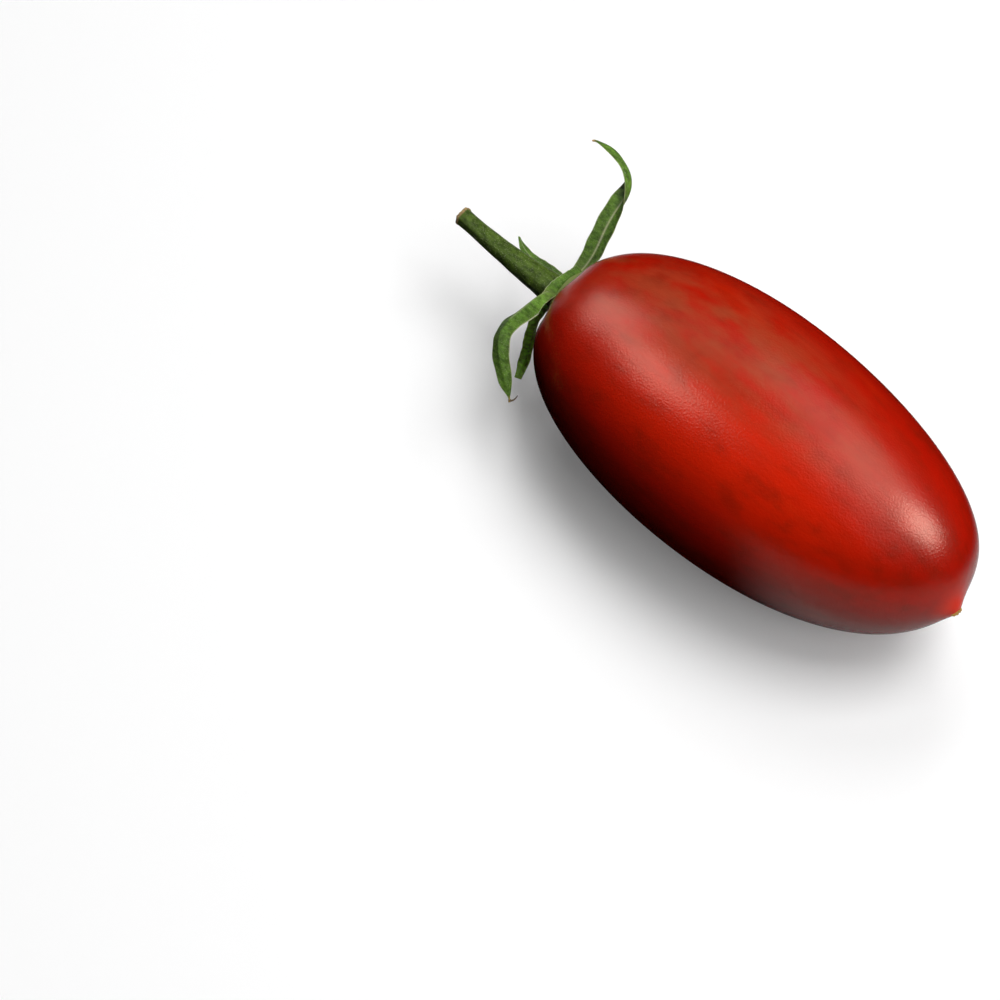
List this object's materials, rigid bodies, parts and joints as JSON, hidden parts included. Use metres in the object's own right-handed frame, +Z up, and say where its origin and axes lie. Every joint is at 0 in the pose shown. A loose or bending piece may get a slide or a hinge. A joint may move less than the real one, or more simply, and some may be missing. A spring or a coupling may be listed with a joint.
{
  "type": "tomato",
  "caption": "Long plum tomato lying on its side, with its cut stem, its narrow green sepals and a small nipple at the blossom end.",
  "frame": {"origin": "middle of the small flat spot that the fruit rests on, at floor height", "axes": "+X along the fruit toward its blossom end, the stem toward -X, +Z up"},
  "size_m": [0.1184, 0.0475, 0.0463],
  "materials": {
    "skin": "smooth ripe skin with a soft gloss",
    "stem_green": "downy green stem and sepals"
  },
  "bodies": {
    "root": {"fruit": "skin", "stem_calyx": "stem_green"}
  },
  "joints": []
}
